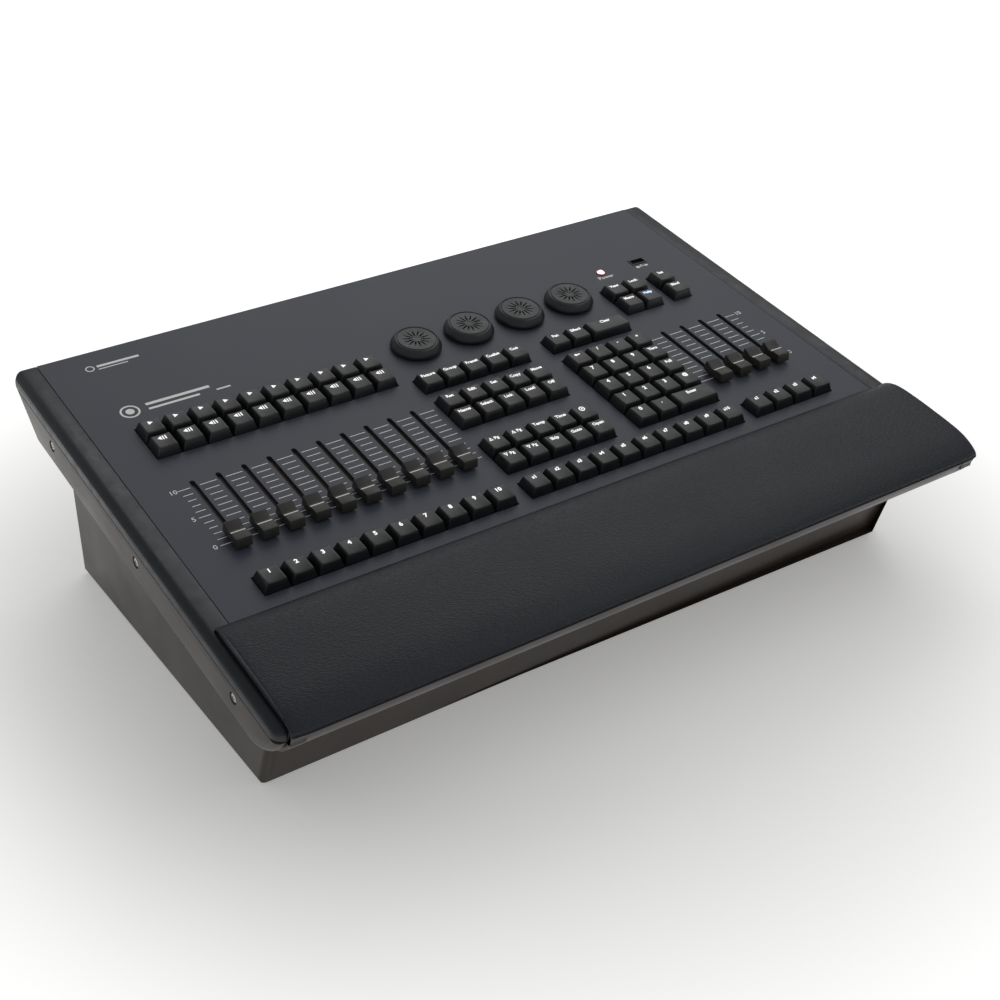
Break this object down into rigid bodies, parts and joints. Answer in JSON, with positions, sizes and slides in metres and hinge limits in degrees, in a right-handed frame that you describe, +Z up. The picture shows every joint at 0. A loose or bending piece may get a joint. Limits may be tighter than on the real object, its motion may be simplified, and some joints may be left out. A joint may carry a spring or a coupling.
{
  "type": "lighting control desk",
  "caption": "Wedge-shaped desktop lighting console with a sloping panel of push keys, slide faders and rotary encoders, a padded armrest, dark side rails and rear sockets.",
  "frame": {"origin": "on the floor, under the middle of the bounding box's underside", "axes": "+X to the desk's right as the operator sits, +Y from the operator to the rear, +Z up; the panel slopes up to the rear by 8.6 degrees about X"},
  "size_m": [0.5734, 0.395, 0.1551],
  "materials": {
    "panel": "matt slate-blue powder coat",
    "base": "satin brown-grey paint",
    "rail": "satin black",
    "leather": "fine-grained black leatherette",
    "rubber": "matt black",
    "key": "satin black moulded caps",
    "cap": "matt black moulded caps",
    "knob": "matt soft-touch black",
    "steel": "plated",
    "board": "green circuit board",
    "socket": "matt black",
    "lamp": "pale frosted lens"
  },
  "bodies": {
    "console": {"chassis_shell": "base", "top_panel": "panel", "rail_left": "rail", "rail_right": "rail", "cheek_left": "base", "cheek_right": "base", "armrest_pad": "leather", "foot_1": "rubber", "foot_2": "rubber", "foot_3": "rubber", "foot_4": "rubber", "switch_board": "board", "fader_bank_left": "steel", "fader_bank_right": "steel", "main_board": "board", "power_supply": "steel", "mains_inlet": "socket", "dmx_output_1": "socket", "dmx_output_2": "socket", "network_port": "steel", "video_port": "steel", "usb_port": "steel", "power_lamp": "lamp"},
    "keys_flash": {"keys_flash": "key"},
    "keys_playback_lower": {"keys_playback_lower": "key"},
    "keys_playback_upper": {"keys_playback_upper": "key"},
    "keys_soft": {"keys_soft": "key"},
    "keys_page_lower": {"keys_page_lower": "key"},
    "keys_page_upper": {"keys_page_upper": "key"},
    "keys_edit_lower": {"keys_edit_lower": "key"},
    "keys_edit_upper": {"keys_edit_upper": "key"},
    "keys_function": {"keys_function": "key"},
    "keys_number_1": {"keys_number_1": "key"},
    "keys_number_2": {"keys_number_2": "key"},
    "keys_number_3": {"keys_number_3": "key"},
    "keys_number_4": {"keys_number_4": "key"},
    "keys_number_5": {"keys_number_5": "key"},
    "keys_clear": {"keys_clear": "key"},
    "keys_menu_lower": {"keys_menu_lower": "key"},
    "keys_menu_upper": {"keys_menu_upper": "key"},
    "keys_select": {"keys_select": "key"},
    "fader_01": {"fader_01": "cap"},
    "fader_02": {"fader_02": "cap"},
    "fader_03": {"fader_03": "cap"},
    "fader_04": {"fader_04": "cap"},
    "fader_05": {"fader_05": "cap"},
    "fader_06": {"fader_06": "cap"},
    "fader_07": {"fader_07": "cap"},
    "fader_08": {"fader_08": "cap"},
    "fader_09": {"fader_09": "cap"},
    "fader_10": {"fader_10": "cap"},
    "fader_11": {"fader_11": "cap"},
    "fader_12": {"fader_12": "cap"},
    "fader_13": {"fader_13": "cap"},
    "fader_14": {"fader_14": "cap"},
    "encoder_1": {"encoder_1": "knob"},
    "encoder_2": {"encoder_2": "knob"},
    "encoder_3": {"encoder_3": "knob"},
    "encoder_4": {"encoder_4": "knob"},
    "power_rocker": {"power_rocker": "key"}
  },
  "joints": [
    {"name": "keys_flash_press", "type": "slide", "parent": "console", "child": "keys_flash", "axis": [0, 0.1495, -0.9888], "range_m": [0, 0.004], "stiffness_N_per_m": 400, "springref_m": -0.01},
    {"name": "keys_playback_lower_press", "type": "slide", "parent": "console", "child": "keys_playback_lower", "axis": [0, 0.1495, -0.9888], "range_m": [0, 0.004], "stiffness_N_per_m": 400, "springref_m": -0.01},
    {"name": "keys_playback_upper_press", "type": "slide", "parent": "console", "child": "keys_playback_upper", "axis": [0, 0.1495, -0.9888], "range_m": [0, 0.004], "stiffness_N_per_m": 400, "springref_m": -0.01},
    {"name": "keys_soft_press", "type": "slide", "parent": "console", "child": "keys_soft", "axis": [0, 0.1495, -0.9888], "range_m": [0, 0.004], "stiffness_N_per_m": 400, "springref_m": -0.01},
    {"name": "keys_page_lower_press", "type": "slide", "parent": "console", "child": "keys_page_lower", "axis": [0, 0.1495, -0.9888], "range_m": [0, 0.004], "stiffness_N_per_m": 200, "springref_m": -0.01},
    {"name": "keys_page_upper_press", "type": "slide", "parent": "console", "child": "keys_page_upper", "axis": [0, 0.1495, -0.9888], "range_m": [0, 0.004], "stiffness_N_per_m": 200, "springref_m": -0.01},
    {"name": "keys_edit_lower_press", "type": "slide", "parent": "console", "child": "keys_edit_lower", "axis": [0, 0.1495, -0.9888], "range_m": [0, 0.004], "stiffness_N_per_m": 200, "springref_m": -0.01},
    {"name": "keys_edit_upper_press", "type": "slide", "parent": "console", "child": "keys_edit_upper", "axis": [0, 0.1495, -0.9888], "range_m": [0, 0.004], "stiffness_N_per_m": 200, "springref_m": -0.01},
    {"name": "keys_function_press", "type": "slide", "parent": "console", "child": "keys_function", "axis": [0, 0.1495, -0.9888], "range_m": [0, 0.004], "stiffness_N_per_m": 200, "springref_m": -0.01},
    {"name": "keys_number_1_press", "type": "slide", "parent": "console", "child": "keys_number_1", "axis": [0, 0.1495, -0.9888], "range_m": [0, 0.004], "stiffness_N_per_m": 120, "springref_m": -0.01},
    {"name": "keys_number_2_press", "type": "slide", "parent": "console", "child": "keys_number_2", "axis": [0, 0.1495, -0.9888], "range_m": [0, 0.004], "stiffness_N_per_m": 160, "springref_m": -0.01},
    {"name": "keys_number_3_press", "type": "slide", "parent": "console", "child": "keys_number_3", "axis": [0, 0.1495, -0.9888], "range_m": [0, 0.004], "stiffness_N_per_m": 160, "springref_m": -0.01},
    {"name": "keys_number_4_press", "type": "slide", "parent": "console", "child": "keys_number_4", "axis": [0, 0.1495, -0.9888], "range_m": [0, 0.004], "stiffness_N_per_m": 160, "springref_m": -0.01},
    {"name": "keys_number_5_press", "type": "slide", "parent": "console", "child": "keys_number_5", "axis": [0, 0.1495, -0.9888], "range_m": [0, 0.004], "stiffness_N_per_m": 160, "springref_m": -0.01},
    {"name": "keys_clear_press", "type": "slide", "parent": "console", "child": "keys_clear", "axis": [0, 0.1495, -0.9888], "range_m": [0, 0.004], "stiffness_N_per_m": 120, "springref_m": -0.01},
    {"name": "keys_menu_lower_press", "type": "slide", "parent": "console", "child": "keys_menu_lower", "axis": [0, 0.1495, -0.9888], "range_m": [0, 0.004], "stiffness_N_per_m": 120, "springref_m": -0.01},
    {"name": "keys_menu_upper_press", "type": "slide", "parent": "console", "child": "keys_menu_upper", "axis": [0, 0.1495, -0.9888], "range_m": [0, 0.004], "stiffness_N_per_m": 120, "springref_m": -0.01},
    {"name": "keys_select_press", "type": "slide", "parent": "console", "child": "keys_select", "axis": [0, 0.1495, -0.9888], "range_m": [0, 0.004], "stiffness_N_per_m": 160, "springref_m": -0.01},
    {"name": "fader_01_slide", "type": "slide", "parent": "console", "child": "fader_01", "axis": [0, 0.9888, 0.1495], "range_m": [0, 0.06]},
    {"name": "fader_02_slide", "type": "slide", "parent": "console", "child": "fader_02", "axis": [0, 0.9888, 0.1495], "range_m": [0, 0.06]},
    {"name": "fader_03_slide", "type": "slide", "parent": "console", "child": "fader_03", "axis": [0, 0.9888, 0.1495], "range_m": [0, 0.06]},
    {"name": "fader_04_slide", "type": "slide", "parent": "console", "child": "fader_04", "axis": [0, 0.9888, 0.1495], "range_m": [0, 0.06]},
    {"name": "fader_05_slide", "type": "slide", "parent": "console", "child": "fader_05", "axis": [0, 0.9888, 0.1495], "range_m": [0, 0.06]},
    {"name": "fader_06_slide", "type": "slide", "parent": "console", "child": "fader_06", "axis": [0, 0.9888, 0.1495], "range_m": [0, 0.06]},
    {"name": "fader_07_slide", "type": "slide", "parent": "console", "child": "fader_07", "axis": [0, 0.9888, 0.1495], "range_m": [0, 0.06]},
    {"name": "fader_08_slide", "type": "slide", "parent": "console", "child": "fader_08", "axis": [0, 0.9888, 0.1495], "range_m": [0, 0.06]},
    {"name": "fader_09_slide", "type": "slide", "parent": "console", "child": "fader_09", "axis": [0, 0.9888, 0.1495], "range_m": [0, 0.06]},
    {"name": "fader_10_slide", "type": "slide", "parent": "console", "child": "fader_10", "axis": [0, 0.9888, 0.1495], "range_m": [0, 0.06]},
    {"name": "fader_11_slide", "type": "slide", "parent": "console", "child": "fader_11", "axis": [0, 0.9888, 0.1495], "range_m": [0, 0.06]},
    {"name": "fader_12_slide", "type": "slide", "parent": "console", "child": "fader_12", "axis": [0, 0.9888, 0.1495], "range_m": [0, 0.06]},
    {"name": "fader_13_slide", "type": "slide", "parent": "console", "child": "fader_13", "axis": [0, 0.9888, 0.1495], "range_m": [0, 0.06]},
    {"name": "fader_14_slide", "type": "slide", "parent": "console", "child": "fader_14", "axis": [0, 0.9888, 0.1495], "range_m": [0, 0.06]},
    {"name": "encoder_1_turn", "type": "hinge", "parent": "console", "child": "encoder_1", "pos_m": [-0.0105, 0.09728, 0.14013], "axis": [0, -0.1495, 0.9888], "continuous": true},
    {"name": "encoder_2_turn", "type": "hinge", "parent": "console", "child": "encoder_2", "pos_m": [0.03712, 0.09728, 0.14013], "axis": [0, -0.1495, 0.9888], "continuous": true},
    {"name": "encoder_3_turn", "type": "hinge", "parent": "console", "child": "encoder_3", "pos_m": [0.08475, 0.09728, 0.14013], "axis": [0, -0.1495, 0.9888], "continuous": true},
    {"name": "encoder_4_turn", "type": "hinge", "parent": "console", "child": "encoder_4", "pos_m": [0.13237, 0.09728, 0.14013], "axis": [0, -0.1495, 0.9888], "continuous": true},
    {"name": "power_rocker_tilt", "type": "hinge", "parent": "console", "child": "power_rocker", "pos_m": [-0.1897, 0.1563, 0.055], "axis": [1, 0, 0], "range_deg": [-20, 0]}
  ]
}
